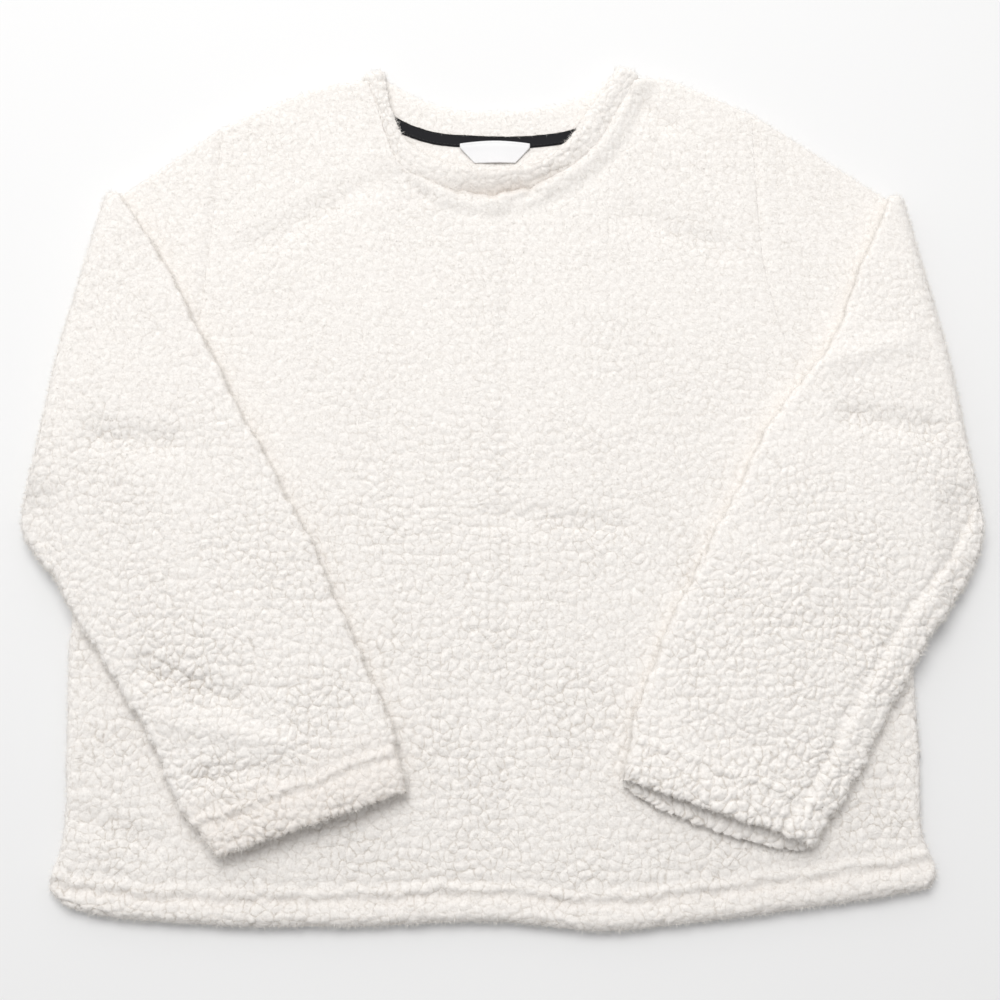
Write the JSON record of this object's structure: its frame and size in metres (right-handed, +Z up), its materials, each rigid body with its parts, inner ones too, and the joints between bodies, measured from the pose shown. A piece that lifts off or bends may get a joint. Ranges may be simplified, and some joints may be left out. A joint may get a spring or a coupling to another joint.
{
  "type": "sherpa fleece pullover",
  "caption": "Cream sherpa fleece pullover laid flat on its back, with a crew neck, turned hem and cuffs, and long sleeves folded over the front.",
  "frame": {"origin": "middle of the garment's box, on the surface it lies on", "axes": "+X across the garment towards the right of the picture, +Y from the hem to the neck, +Z up"},
  "size_m": [0.7056, 0.6588, 0.0271],
  "materials": {
    "sherpa": "curly clumped pile, matte",
    "tape": "black twill neck tape",
    "label": "blank white woven label"
  },
  "bodies": {
    "root": {"back": "sherpa", "front": "sherpa", "sleeve_left": "sherpa", "sleeve_right": "sherpa", "neckband": "sherpa", "neck_tape": "tape", "label": "label"}
  },
  "joints": []
}
